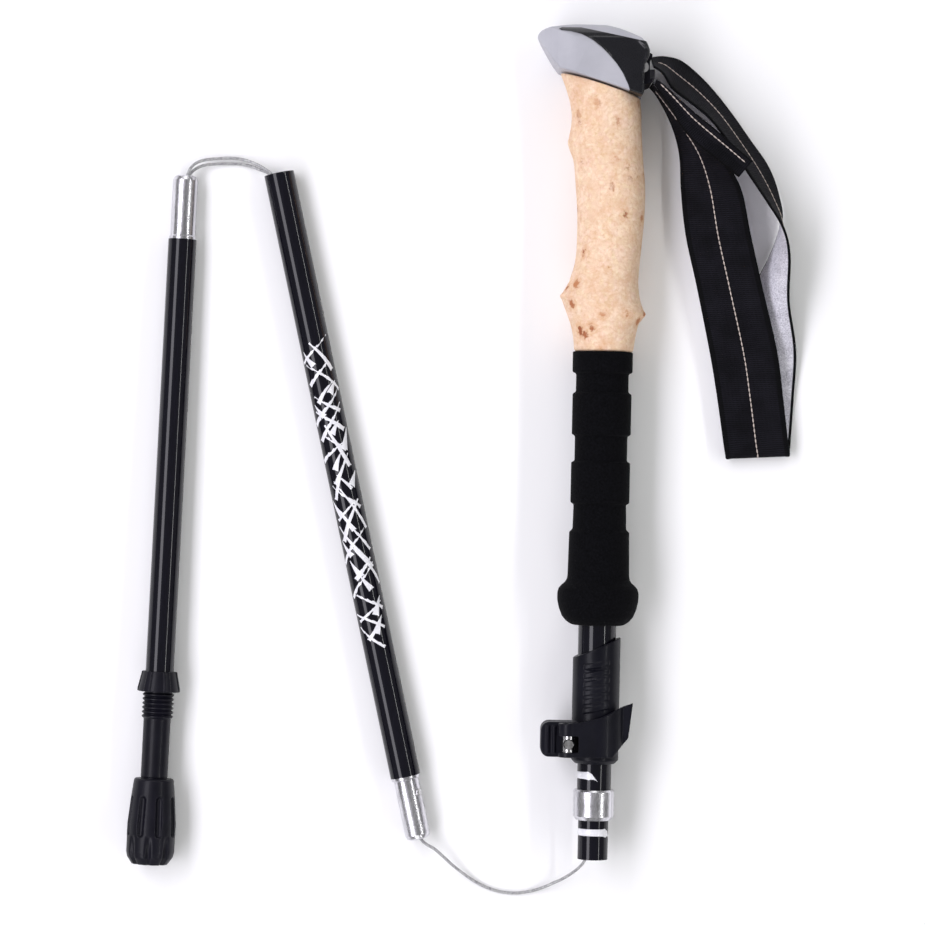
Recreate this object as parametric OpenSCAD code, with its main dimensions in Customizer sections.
// Three-section folding trekking pole, lying folded on a surface. Units: mm.
// Each section is built upright on its own axis (z up the pole, -y facing up when it lies down)
// and then laid down by at_handle(), at_middle() or at_lower().

/* [Tubes] */
// Outer diameter of the upper tube
upper_d = 20; // [19:0.5:21]
// Wall of every tube
wall = 0.95; // [0.9:0.05:1]
// Outer diameter of the length adjusting tube
adjust_d = 18; // [17.9:0.05:18]
// Outer diameter of the tension tube
tension_d = 16; // [15.9:0.05:16]
// Outer diameter of the middle tube
middle_d = 16; // [15:0.5:17]
// Outer diameter of the lower tube
lower_d = 15; // [14.5:0.5:15.5]
// Length of the middle tube
middle_len = 328; // [320:1:330]
// Length of the lower tube
lower_len = 232; // [231:1:233]
// Radial clearance of each sliding fit
fit = 0.05; // [0.02:0.01:0.08]

/* [Ferrules and cable] */
// Diameter of the joint ferrules
ferrule_d = 13.4; // [13:0.1:13.6]
// Length of a ferrule outside its tube
ferrule_len = 34; // [30:1:36]
// Bore of a ferrule, for the cable
ferrule_bore = 7; // [6:0.5:8]
// Diameter of the cable
cable_d = 1.6; // [1.2:0.1:2]

/* [Grip] */
// Diameter of the foam bulge, which the handle lies on
bulge_d = 43; // [43:1:44]
// Depth of the grip head, front to back as it lies
head_depth = 43; // [42:1:43]
// Depth of the cork
cork_depth = 33; // [30:1:36]
// Radius of the strap pin
pin_r = 2.9; // [2.5:0.1:3]
// Width of the strap slot in the head
slot_w = 35; // [34.5:0.1:36]

/* [Clamp] */
// Radius of the clamp sleeve
sleeve_r = 12.5; // [12.2:0.1:12.8]
// Radius of the lever hub
hub_r = 5.5; // [5.4:0.1:5.6]
// Radius of the barrel in the hub
barrel_r = 3.2; // [3:0.1:3.3]
// Radius of the clamp screw
screw_r = 2; // [1.8:0.1:2]
// Distance from the tube axis to the clamp screw
screw_x = 14.3; // [14:0.1:15]
// Half width of the two clamp ears together
ear_y = 8; // [7.5:0.5:8]

/* [Tip] */
// Largest diameter of the rubber tip
rubber_d = 25.7; // [25:0.1:27]
// Largest radius of the basket thread
thread_r = 8.3; // [8:0.1:8.5]
// Pitch of the basket thread
thread_pitch = 2.3; // [2:0.1:2.6]
// Number of long slots round the rubber tip
slots = 8; // [6:1:10]

/* [Hidden] */
$fn = 96;
eps = 0.02;

// Where each section lies: one end of its axis, and its heading in degrees
handle_at = [68.7, -218.3, bulge_d / 2];
handle_turn = -1.19;
middle_at = [-30.4, -175.8, middle_d / 2];
middle_turn = 11.85;
rubber_reach = 322;     // from the lower tube's top end to where the rubber tip touches down
lower_pitch = -asin((rubber_d - lower_d) / 2 / rubber_reach);
lower_at = [-149.2, 110.2, lower_d / 2 + 0.02];
lower_turn = -2.95;

// Heights along the handle, from the free end of the tension tube
ring_z = [20.8, 36.9];
adjust_z = [24, 310];
tension_top = 130;
through = 5;            // how far a cut runs past the surface it opens
clamp_z = 50.6;
upper_z = [76, 405];
foam_z = 123.7;
cork_z = 268.1;
ear_z = [54.1, 72.6];
screw_z = 61.5;
hub_y = -(ear_y + hub_r + fit);
plate_r = 13.4;         // inner radius of the lever plate round the tube
plate_out = 16.3;
adjust_r = adjust_d / 2;
tension_r = tension_d / 2;
upper_r = upper_d / 2;
pin_at = [94.7, 198.3]; // the strap pin, seen from above
pocket_r = 12.5;        // the hollow that the strap swings in
pin_end = 1.8;          // cover left over each end of the pin
button_z = 9.5;         // the snap button, from the tube's end
button_turn = 35;       // how far round towards the underside the button sits

module at_handle() { translate(handle_at) rotate([0, 0, handle_turn]) rotate([-90, 0, 0]) children(); }
module at_middle() { translate(middle_at) rotate([0, 0, middle_turn]) rotate([-90, 0, 0]) children(); }
module at_lower() {
    translate(lower_at) rotate([0, 0, lower_turn]) rotate([-90 + lower_pitch, 0, 0]) children();
}

// A round tube on z between two heights
module tube(r_out, r_in, z) {
    difference() {
        translate([0, 0, z[0]]) cylinder(r = r_out, h = z[1] - z[0]);
        translate([0, 0, z[0] - 1]) cylinder(r = r_in, h = z[1] - z[0] + 2);
    }
}

// A closed skin over rings that all have the same number of points. From side flip on, the
// faces are split along their other diagonal, so that both faces of a twisted strap match.
module skin(rings, flip = 1000) {
    n = len(rings[0]);
    m = len(rings);
    polyhedron(
        points = [for (ring = rings) for (p = ring) p],
        faces = concat(
            [[for (i = [0:n - 1]) i]],
            [for (k = [0:m - 2]) for (i = [0:n - 1])
                [k * n + i, (k + 1) * n + i, (i < flip ? k + 1 : k) * n + (i + 1) % n]],
            [for (k = [0:m - 2]) for (i = [0:n - 1])
                [(i < flip ? k : k + 1) * n + i, (k + 1) * n + (i + 1) % n, k * n + (i + 1) % n]],
            [[for (i = [n - 1:-1:0]) (m - 1) * n + i]]));
}

function unit(v) = v / norm(v);
function along(route, i) = unit(route[min(i + 1, len(route) - 1)] - route[max(i - 1, 0)]);
function cross_ring(p, t, r, n) =
    let (u = unit(cross(t, [0, 0, 1])), v = cross(u, t))
    [for (k = [0:n - 1]) p + r * (cos(360 * k / n) * u + sin(360 * k / n) * v)];

// A cord swept along its route with eight sides
module cord(route, d) {
    skin([for (i = [0:len(route) - 1]) cross_ring(route[i], along(route, i), d / 2, 8)]);
}

// A flat strap through pairs of edge points
function edge_mid(e) = (e[0] + e[1]) / 2;
function strap_ring(edges, i, t) =
    let (a = edge_mid(edges[max(i - 1, 0)]), b = edge_mid(edges[min(i + 1, len(edges) - 1)]),
        w = edges[i][1] - edges[i][0], n = t / 2 * unit(cross(unit(b - a), unit(w))))
    [edges[i][0] + n, edges[i][1] + n, edges[i][1] - n, edges[i][0] - n];
module strap(edges, t) { skin([for (i = [0:len(edges) - 1]) strap_ring(edges, i, t)], 2); }

// ---- Grip ----
// Cork outline: height, left edge, right edge, and its depth as a share of cork_depth
cork_rows = [[268.2, -15.2, 15.9, 0.9], [283.5, -17.8, 19.5, 0.96], [288.3, -19.6, 22.3, 0.98],
    [297, -23, 18.7, 1], [306, -18.3, 18, 0.98], [318, -15.4, 18.7, 0.95], [339, -15, 20.5, 0.97],
    [355, -16.2, 20.6, 1], [368, -17.5, 19.3, 1], [378, -20.9, 18.6, 1], [386, -19.2, 17.9, 1],
    [395, -19.3, 17.6, 1.04]];
seam_slope = -0.31;     // slope of the seam between cork and head
seam_z = 408;
function oval(left, right, half_depth, z, slope) =
    [for (a = [0:15:345]) let (x = (left + right) / 2 + (right - left) / 2 * cos(a))
        [x, half_depth * sin(a), z + slope * x]];
module cork_grip() {
    rows = concat([for (r = cork_rows) oval(r[1], r[2], cork_depth / 2 * r[3], r[0], 0)],
        [oval(-26, 17, cork_depth / 2 * 1.12, seam_z, seam_slope)]);
    color("burlywood") at_handle() difference() {
        skin([for (k = [len(rows) - 1:-1:0]) rows[k]]);
        translate([0, 0, cork_z - through])
            cylinder(r = upper_r + fit, h = upper_z[1] - cork_z + 4 * through);
    }
}

head_side = [[-26.3, seam_z + 8.2], [-29.6, 420.2], [-32.8, 425], [-36, 430], [-37.9, 433.4], [-37.6, 435.2],
    [-35.9, 436.6], [-33, 437.6], [-27.2, 438.8], [-19, 440.3], [-10.8, 440.8], [-1.9, 440.1], [4.6, 437.8],
    [9.4, 435.7], [16.1, 432.5], [18.6, 429.8], [20.4, 426], [20.3, 423.4], [18, 418.4], [17.5, 410],
    [18.1, 406.2], [17.1, seam_z - 5.2]];
head_foot = 395;        // below the lowest point of the head
head_end = 21.5;        // reach of the strap end of the head
head_corner = 3;        // corner at the strap end, seen down the pole
nose_start = -8;        // where the sides begin to close towards the nose
nose_reach = 30.2;
crown_z = 428;          // where the sides start to close over the crown
crown_rise = 12.8;
head_plan = concat([[head_end, head_corner - head_depth / 2], [head_end, head_depth / 2 - head_corner],
    [head_end - head_corner, head_depth / 2]],
    [for (a = [90:10:270]) [nose_start + nose_reach * cos(a), head_depth / 2 * sin(a)]],
    [[head_end - head_corner, -head_depth / 2]]);
module head_outline() {
    intersection() {
        rotate([90, 0, 0]) linear_extrude(height = head_depth, center = true) polygon(head_side);
        translate([-50, 0, 0]) rotate([90, 0, 90]) linear_extrude(height = 100)
            polygon(concat([[-cork_depth * 0.56, head_foot], [cork_depth * 0.56, head_foot]],
                [for (a = [0:10:180]) [head_depth / 2 * cos(a), crown_z + crown_rise * sin(a)]]));
        translate([0, 0, head_foot]) linear_extrude(height = 60) polygon(head_plan);
    }
}
insert_side = [[-27.5, 437.2], [-15.5, 437.8], [-3.3, 434.7], [14, 431.1], [19.5, 426.2],
    [17.2, 412], [16.8, 404.5], [9.8, 407.4], [6.8, 413.5], [-0.5, 423], [-9.1, 430.3], [-21.3, 435.3]];
insert_t = 1.2;
module insert_plate(side) {
    at_handle() intersection() {
        head_outline();
        translate([0, side * (head_depth / 2 - insert_t / 2), 0]) rotate([90, 0, 0])
            linear_extrude(height = insert_t, center = true) polygon(insert_side);
    }
}
socket_z = 415;         // top of the hollow over the upper tube
module grip_head() {
    color("lightgray") difference() {
        at_handle() difference() {
            head_outline();
            translate([0, 0, cork_z]) cylinder(r = upper_r + fit, h = upper_z[1] - cork_z);
            translate([0, 0, cork_z]) cylinder(r = upper_r - wall, h = socket_z - cork_z);
        }
        insert_plate(-1);
        insert_plate(1);
        translate([pin_at[0], pin_at[1], handle_at[2] - slot_w / 2]) cylinder(r = pocket_r, h = slot_w);
        translate([pin_at[0], pin_at[1], pin_end]) cylinder(r = pin_r, h = head_depth - 2 * pin_end);
    }
}
module head_insert_front() { color([0.1, 0.1, 0.12]) insert_plate(-1); }
module head_insert_back() { color([0.1, 0.1, 0.12]) insert_plate(1); }
plug_bore = 4;
plug_z = [385, 404];
module head_plug() {
    color("dimgray") at_handle() tube(upper_r - wall, plug_bore, plug_z);
}
foam_profile = [[0, 13], [0.6, 14.6], [2.2, 16.9], [4.6, 18.9], [8.6, 20.5], [12.6, 21.4], [14.4, 21.5],
    [17, 21.5], [19.2, 20.9], [21, 19.4], [22.4, 17.7], [24, 16.7], [26, 16.3],
    [49, 15.9], [50.6, 14.2], [63.8, 13.9], [64.6, 15.6], [85.8, 15.6], [86.6, 13.9], [99.9, 13.9],
    [100.7, 15.6], [122.2, 15.6], [123, 13.9], [132.8, 13.9], [133.6, 15.9], [144.4, 15.9]];
foam_top = 144.4;
module foam_sleeve() {
    color([0.12, 0.12, 0.13]) at_handle() translate([0, 0, foam_z]) rotate_extrude()
        polygon(concat([[upper_r + eps, foam_top], [upper_r + eps, 0]],
            [for (p = foam_profile) [p[1], p[0]]]));
}

// ---- Strap ----
strap_t = 2;
module strap_pin() {
    color("silver") translate([pin_at[0], pin_at[1], pin_end])
        cylinder(r = pin_r - eps, h = head_depth - 2 * pin_end);
}
wedge_size = [2.5, 4.6, 20];
wedge_at = [98.7, 193.4];
module strap_wedge() {
    color([0.3, 0.3, 0.33]) translate([wedge_at[0], wedge_at[1], handle_at[2] - wedge_size[2] / 2])
        cube(wedge_size);
}
// Each row of edges is one edge point, then the point across the strap from it
black_edges = [
    [[100.6, 207, 6], [100.3, 199, 36]], [[108, 207.6, 6], [105.4, 195, 36.5]],
    [[117.3, 205.4, 3], [110.6, 187.6, 31.5]], [[129.4, 195.1, 2], [119.8, 180.6, 31]],
    [[141.6, 180.5, 2], [129.8, 172.2, 32]], [[153.7, 163.4, 2], [139.8, 159.4, 32]],
    [[163.5, 149, 2], [150, 143.6, 32]], [[168.9, 134.1, 2], [160, 128.5, 33]],
    [[170.4, 119.8, 2], [168.5, 114.5, 34]], [[164, 101, 1.7], [172.5, 100.5, 29]],
    [[152, 77.4, 1.6], [173.5, 76.4, 17]], [[146, 50, 1.6], [178, 51, 6]],
    [[144.5, 24.4, 1.6], [177, 25.5, 2.4]], [[142, 0, 1.6], [175.4, 2, 1.6]],
    [[141, -4.6, 2.2], [175, -3, 2.2]], [[140.4, -6.4, 4.6], [174.8, -5, 4.6]],
    [[140, -4.6, 7.2], [174.5, -3, 7.2]], [[139, 1, 8.6], [173.4, 3, 8.6]],
    [[135.5, 26.3, 8.6], [170.8, 25.4, 9.2]], [[131.9, 48.3, 9], [167.3, 50.3, 12.5]],
    [[124.7, 84.4, 10], [158.8, 85.4, 17]], [[118.7, 111.9, 11], [152.8, 112, 18]],
    [[116.2, 135.7, 10], [147, 136.4, 24]], [[115.4, 156, 8], [136, 152, 34]],
    [[111.5, 171.5, 6], [121.5, 166.4, 37]], [[104.7, 185.4, 5.6], [107, 181.8, 37.5]],
    [[100, 191.6, 5.4], [100, 190.6, 37.5]]];
module strap_loop() { color([0.12, 0.12, 0.14]) strap(black_edges, strap_t); }
root_z = 5.5;
root_r = 8.6;           // outside of the webbing wrapped round the pin
root_h = 32;
root_flat = 4.9;        // where the wrap ends and the two bands leave it
root_notch = [3.6, 11.6]; // room for the wedge: depth from the pin, and width
module strap_root() {
    color([0.12, 0.12, 0.14]) translate([pin_at[0], pin_at[1], root_z]) difference() {
        cylinder(r = root_r, h = root_h);
        translate([0, 0, -1]) cylinder(r = pin_r + fit, h = root_h + 2);
        translate([root_notch[0], -root_notch[1] / 2, -1]) cube([10, root_notch[1], root_h + 2]);
        translate([root_flat, -20, -1]) cube([10, 40, root_h + 2]);
    }
}
tail_edges = [[[101.6, 191.8, 38.8], [100.2, 189.4, 40.8]], [[106.2, 188.4, 38.8], [103, 185.6, 41]],
    [[113.6, 181.6, 38.8], [108.6, 177.6, 41.2]], [[122.4, 174, 38.6], [114, 167.4, 41.4]],
    [[130.4, 167.8, 38], [121.4, 158.8, 41.4]], [[141, 158.8, 37], [132.6, 150.2, 41]],
    [[152, 149.4, 36], [144.6, 140.6, 40.2]]];
module strap_tail() { color([0.14, 0.14, 0.16]) strap(tail_edges, strap_t); }

// ---- Upper section ----
module upper_tube() {
    color([0.08, 0.08, 0.1]) at_handle() tube(upper_r, adjust_r + fit, upper_z);
}
// A plate of the given outline in x and z, between two values of y
module slab(y) { translate([0, y[1], 0]) rotate([90, 0, 0]) linear_extrude(height = y[1] - y[0]) children(); }
ear_left = -28.9;
module ear_outline() {
    corner = 4.5;
    hull() {
        for (z = [ear_z[0] + corner, ear_z[1] - corner]) translate([ear_left + corner, z])
            circle(r = corner, $fn = 32);
        translate([-8, ear_z[0]]) square([1, ear_z[1] - ear_z[0]]);
    }
}
sleeve_lip = 2;         // bevel at the sleeve's lower end
sleeve_top = 112;       // height of the slanted top, on the axis
sleeve_slope = 24;
rib_count = 6;
rib_z = 79;
rib_pitch = 4.6;
rib_lean = 12;
rib_w = 2.4;
rib_rise = 0.6;
rib_x = [-7, 6.5];
ear_ridges = [-21.8, -25.2];
ridge_w = 1.5;
ridge_rise = 0.9;
ear_slit = 2;           // gap that the screw pulls shut
module clamp_body() {
    color([0.13, 0.13, 0.15]) at_handle() difference() {
        union() {
            difference() {
                translate([0, 0, clamp_z + sleeve_lip]) cylinder(r = sleeve_r, h = 70);
                translate([0, 0, sleeve_top]) rotate([0, -sleeve_slope, 0])
                    translate([-30, -30, 0]) cube([60, 60, 40]);
            }
            translate([0, 0, clamp_z]) cylinder(r1 = sleeve_r - sleeve_lip, r2 = sleeve_r, h = sleeve_lip);
            slab([-ear_y, ear_y]) ear_outline();
            for (k = [0:rib_count - 1]) intersection() {
                translate([0, 0, rib_z + rib_pitch * k]) rotate([0, -rib_lean, 0]) difference() {
                    cylinder(r = sleeve_r + rib_rise, h = rib_w);
                    translate([0, 0, -1]) cylinder(r = sleeve_r - 0.5, h = rib_w + 2);
                }
                translate([rib_x[0], -20, rib_z - 9]) cube([rib_x[1] - rib_x[0], 20, 50]);
            }
            for (x = ear_ridges) translate([x, 0, (ear_z[0] + ear_z[1]) / 2])
                cube([ridge_w, (ear_y + ridge_rise) * 2, ear_z[1] - ear_z[0] - 4], center = true);
        }
        cylinder(r = adjust_r + fit, h = upper_z[0] + 1);
        translate([0, 0, upper_z[0]]) cylinder(r = upper_r + eps, h = 60);
        translate([-40, -ear_slit / 2, clamp_z - 1]) cube([40, ear_slit, 28]);
        translate([-screw_x, 20, screw_z]) rotate([90, 0, 0]) cylinder(r = screw_r + fit, h = 40);
    }
}
lever_outline = [[-21, 54.6], [9, 54.6], [12, 58.3], [17.3, 64.7], [19.4, 83.3], [13.5, 81],
    [2, 75.6], [-9, 73], [-21, 72.4]];
lever_section = concat([[-screw_x, hub_y - hub_r]],
    [for (a = [-90:5:-30]) plate_out * [cos(a), sin(a)]], [[19.4, -8.4], [19.4, -6.2], [14.4, -5]],
    [for (a = [-30:-5:-90]) plate_r * [cos(a), sin(a)]], [[-8, -plate_r], [-screw_x, hub_y]]);
window = [57.2, 65.8];  // opening in the lever over the screw
hub_h = 17.8;
module clamp_lever() {
    color([0.1, 0.1, 0.12]) at_handle() difference() {
        union() {
            intersection() {
                linear_extrude(height = 90) polygon(lever_section);
                slab([-25, 0]) polygon(lever_outline);
            }
            translate([-screw_x, hub_y, ear_z[0] + 0.5]) cylinder(r = hub_r, h = hub_h);
        }
        translate([-screw_x, hub_y, ear_z[0] - 5]) cylinder(r = barrel_r + fit, h = 30);
        translate([-screw_x, hub_y, window[0]]) cylinder(r = hub_r + 1.2, h = window[1] - window[0]);
    }
}
module clamp_barrel() {
    color("silver") at_handle() difference() {
        translate([-screw_x, hub_y, ear_z[0] + 1]) cylinder(r = barrel_r, h = hub_h - 1);
        translate([-screw_x, 0, screw_z]) rotate([90, 0, 0]) cylinder(r = screw_r + fit, h = 40);
    }
}
head_y = hub_y - barrel_r;
screw_tail = 5;         // what stands out behind the clamp
screw_head_r = 2.9;
drive_slot = 0.9;
module clamp_screw() {
    color("silver") at_handle() translate([-screw_x, 0, screw_z]) rotate([90, 0, 0]) difference() {
        union() {
            translate([0, 0, -ear_y - screw_tail])
                cylinder(r = screw_r, h = ear_y + screw_tail + 0.5 - head_y);
            translate([0, 0, -head_y + fit]) cylinder(r1 = screw_head_r, r2 = screw_head_r - 0.5, h = 1.6);
        }
        translate([-4, -drive_slot / 2, -head_y + 0.7]) cube([8, drive_slot, 2]);
    }
}
washer = [4.6, 0.8];    // radius, thickness
nut = [4, 3];
module clamp_nut() {
    color("silver") at_handle() translate([-screw_x, ear_y + fit, screw_z]) rotate([-90, 0, 0]) difference() {
        union() {
            cylinder(r = washer[0], h = washer[1]);
            translate([0, 0, washer[1]]) cylinder(r = nut[0], h = nut[1], $fn = 6);
        }
        translate([0, 0, -1]) cylinder(r = screw_r + fit, h = 8);
    }
}

// ---- Adjusting tube and tension tube ----
module adjust_tube() {
    color([0.09, 0.09, 0.11]) at_handle() tube(adjust_r, tension_r + fit, adjust_z);
}
bush_len = 12;
module adjust_bush() {
    color("dimgray") at_handle() tube(adjust_r, tension_r - 2, [adjust_z[1] + eps, adjust_z[1] + bush_len]);
}
ring_r = 10.9;
module end_ring() {
    color("silver") at_handle() rotate_extrude() polygon([[tension_r + fit, ring_z[0]],
        [ring_r - 1.5, ring_z[0]], [ring_r, ring_z[0] + 2], [ring_r, ring_z[1] - 1],
        [ring_r - 0.7, ring_z[1]], [adjust_r + eps, ring_z[1]],
        [adjust_r + eps, adjust_z[0] - eps], [tension_r + fit, adjust_z[0] - eps]]);
}
mouth_r = ferrule_d / 2 + 0.2; // bore that a ferrule enters
button_r = 2;
anchor_len = 12;
slack_z = 40;           // where the cable inside the tension tube is first drawn
module tension_tube() {
    color([0.09, 0.09, 0.11]) at_handle() difference() {
        tube(tension_r, mouth_r, [0, tension_top]);
        rotate([0, 0, 180 - button_turn]) translate([0, 0, button_z]) rotate([0, 90, 0])
            cylinder(r = button_r + 0.4, h = 12);
    }
}
module cable_anchor() {
    color("silver") at_handle() tube(mouth_r - eps, cable_d / 2, [tension_top - anchor_len, tension_top]);
}
module anchor_cable() {
    color("gainsboro") at_handle() translate([0, 0, slack_z])
        cylinder(r = cable_d / 2 - eps, h = tension_top - slack_z - 2);
}

// ---- Middle section ----
middle_bore = middle_d / 2 - wall;
ferrule_root = 30;      // length of a ferrule inside its own tube
module ferrule(tube_bore) {
    flange = tube_bore + wall - 0.35;
    outer = ferrule_d / 2;
    rotate_extrude() polygon([[ferrule_bore / 2, -ferrule_root], [tube_bore - eps, -ferrule_root],
        [tube_bore - eps, 0], [flange, 0], [flange, 1.4], [outer, 2], [outer, ferrule_len - 2.4],
        [outer - 0.7, ferrule_len - 0.8], [outer - 2, ferrule_len], [ferrule_bore / 2, ferrule_len]]);
}
module middle_tube() {
    color([0.09, 0.09, 0.11]) at_middle() tube(middle_d / 2, middle_bore, [eps, middle_len]);
}
module button_way(r) {
    rotate([0, 0, -button_turn]) translate([0, 0, -button_z]) rotate([0, -90, 180]) cylinder(r = r, h = 12);
}
module middle_ferrule() {
    color("silver") at_middle() difference() {
        rotate([180, 0, 0]) ferrule(middle_bore);
        button_way(button_r + fit);
    }
}
button_foot = 2.6;
button_h = 4.3;
module snap_button() {
    color("silver") at_middle() rotate([0, 0, -button_turn])
        translate([button_foot, 0, -button_z]) rotate([0, 90, 0]) {
        cylinder(r = button_r, h = button_h);
        translate([0, 0, button_h]) cylinder(r1 = button_r, r2 = button_r - 0.6, h = 0.6);
    }
}
spring_t = 0.4;
spring_w = 2.4;
spring_x = 0.85;        // face of the spring leaf behind the button
spring_back = -3.1;
module button_spring() {
    color("gray") at_middle() rotate([0, 0, -button_turn]) {
        translate([spring_x - spring_t, -spring_w / 2, -button_z - 3]) cube([spring_t, spring_w, 16]);
        translate([spring_back, -spring_w / 2, 12.6 - button_z])
            cube([spring_x - spring_back, spring_w, spring_t]);
        translate([spring_back, -spring_w / 2, 2 - button_z]) cube([spring_t, spring_w, 11]);
    }
}
lining_len = 24;
module middle_end_ring() {
    color("silver") at_middle()
        tube(middle_bore - eps, middle_bore - 0.5, [middle_len - lining_len, middle_len - 0.4]);
}
module middle_cable() {
    color("gainsboro") at_middle() translate([0, 0, ferrule_root])
        cylinder(r = cable_d / 2, h = middle_len - 3 * ferrule_root);
}

// ---- Lower section: heights run down from the tube's top end ----
lower_bore = lower_d / 2 - wall;
collar = [230.2, 241];
collar_r = [11.1, 8.7];
thread_z = 256;
neck_z = 287.2;
rubber_z = 332.6;
neck_r = 6.9;
body_r = 7.3;
slot_r = 1.9;           // the cap's long side slots
slot_z = -316;
slot_h = 18;
scallop_r = 2.4;        // the notches round the cap's foot
scallop_lean = 28;
module lower_tube() {
    color([0.09, 0.09, 0.11]) at_lower() tube(lower_d / 2, lower_bore, [-lower_len, -eps]);
}
module lower_ferrule() { color("silver") at_lower() ferrule(lower_bore); }
stop_z = [-70, -60];
module cable_stop() {
    color("silver") at_lower() tube(lower_bore - eps, cable_d / 2 + eps, stop_z);
}
module lower_cable() {
    color("gainsboro") at_lower() translate([0, 0, stop_z[0] - 2]) cylinder(r = cable_d / 2, h = 62);
}
module basket_stop() {
    color([0.17, 0.17, 0.19]) at_lower() difference() {
        union() {
            translate([0, 0, -collar[1]])
                cylinder(r1 = collar_r[0], r2 = collar_r[1], h = collar[1] - collar[0]);
            for (a = [0:60:300]) rotate([0, 0, a]) translate([0, 0, -collar[1]])
                rotate([0, 0, -10]) rotate_extrude(angle = 20)
                    polygon([[8, 0], [11.3, 0], [11.3, 1.6], [9.3, collar[1] - collar[0]],
                        [8, collar[1] - collar[0]]]);
        }
        translate([0, 0, -collar[1] - 1]) cylinder(r = lower_d / 2 + eps, h = 20);
    }
}
turns = floor((thread_z - collar[1] - 0.6) / thread_pitch);
thread_profile = [for (k = [0:turns - 1]) each [[body_r, -collar[1] - 0.6 - thread_pitch * k],
    [thread_r, -collar[1] - 0.6 - thread_pitch * (k + 0.35)],
    [thread_r, -collar[1] - 0.6 - thread_pitch * (k + 0.6)],
    [body_r, -collar[1] - 0.6 - thread_pitch * (k + 0.95)]]];
body_end = 322;         // lower end of the tip body
nose_r = 4.5;
point_r = 2.1;          // the carbide tip's socket
point_z = 312;
point_end = 328;
module tip_body() {
    color([0.18, 0.18, 0.2]) at_lower() rotate_extrude() polygon(concat(
        [[0, -lower_len - 0.05], [body_r, -lower_len - 0.05]], thread_profile,
        [[7.2, -thread_z], [neck_r + 0.25, -neck_z + 1], [neck_r, -neck_z + 0.5], [neck_r, -body_end + 4],
        [nose_r, -body_end + 2], [nose_r, -body_end], [point_r, -body_end], [point_r, -point_z],
        [0, -point_z]]));
}
module carbide_tip() {
    color("silver") at_lower() translate([0, 0, -point_end])
        cylinder(r1 = 1.2, r2 = point_r - eps, h = point_end - point_z - eps);
}
module rubber_tip() {
    color([0.16, 0.16, 0.18]) at_lower() difference() {
        rotate_extrude() polygon([[0, -rubber_z], [9.6, -rubber_z], [rubber_d / 2 - 0.6, -328.8],
            [rubber_d / 2, -326], [rubber_d / 2, -311], [11.6, -297], [10.6, -neck_z - 1],
            [10, -neck_z], [0, -neck_z]]);
        translate([0, 0, -body_end + 2]) cylinder(r = neck_r + fit, h = 40);
        translate([0, 0, -point_end - 1]) cylinder(r = nose_r + 0.3, h = 20);
        for (a = [0:360 / slots:359]) rotate([0, 0, a + 180 / slots])
            translate([rubber_d / 2 + 0.4, 0, slot_z]) rotate([0, -4, 0]) {
                cylinder(r = slot_r, h = slot_h);
                sphere(r = slot_r);
                translate([0, 0, slot_h]) sphere(r = slot_r);
            }
        for (a = [0:360 / slots:359]) rotate([0, 0, a])
            translate([rubber_d / 2 + 0.6, 0, -rubber_z - 0.4]) rotate([0, scallop_lean, 0])
                cylinder(r = scallop_r, h = 12);
    }
}

// ---- Free stretches of the cable, seen between the sections ----
upper_route = [[66, -211, 19], [65.8, -215.4, 18.6], [64.9, -219.4, 17.2], [62.6, -223, 14.2],
    [59, -226.6, 10.4], [54.2, -230.2, 6.6], [48.6, -233.2, 3.6], [42.6, -236, 2], [36, -238, 1.1],
    [28.6, -239, 0.9], [21, -238.4, 0.9], [13.4, -236.2, 1], [6.4, -232.6, 1.6], [0, -228, 2.8],
    [-5.6, -223.4, 4.4], [-10.4, -218.8, 6], [-15, -214.6, 7.2], [-20, -211.6, 8], [-24.6, -206.6, 8]];
lower_route_a = [[-146.9, 140, 9], [-146.2, 145, 8.8], [-144.2, 149, 8], [-140.8, 151.6, 6.4],
    [-136.4, 153, 4.4], [-131.2, 153.6, 2.6], [-126, 154, 1.8], [-120.8, 153.8, 1.7],
    [-115.8, 152.8, 2.2], [-111, 151, 3.6], [-106.6, 148.6, 5.2], [-102.4, 145.6, 6.8],
    [-99.6, 141, 7.2]];
lower_route_b = [[-147.4, 139, 5.4], [-146.4, 143.6, 5.3], [-143, 147.6, 4.8], [-138, 150, 3.6],
    [-132, 150.8, 2.2], [-125.4, 151, 1.3], [-119, 150.8, 1.1], [-113, 149.6, 1.4], [-108.4, 147.8, 2.6],
    [-103.2, 145.4, 4.6], [-100.4, 140.6, 5.6]];
module upper_run() { color("gainsboro") cord(upper_route, cable_d); }
module lower_run_a() { color("gainsboro") cord(lower_route_a, cable_d); }
module lower_run_b() { color("gainsboro") cord(lower_route_b, cable_d); }

cork_grip();
grip_head();
head_insert_front();
head_insert_back();
head_plug();
foam_sleeve();
strap_pin();
strap_wedge();
strap_root();
strap_loop();
strap_tail();
upper_tube();
clamp_body();
clamp_lever();
clamp_screw();
clamp_barrel();
clamp_nut();
adjust_tube();
adjust_bush();
end_ring();
tension_tube();
cable_anchor();
anchor_cable();
middle_tube();
middle_ferrule();
snap_button();
button_spring();
middle_end_ring();
middle_cable();
lower_tube();
lower_ferrule();
cable_stop();
lower_cable();
basket_stop();
tip_body();
carbide_tip();
rubber_tip();
upper_run();
lower_run_a();
lower_run_b();
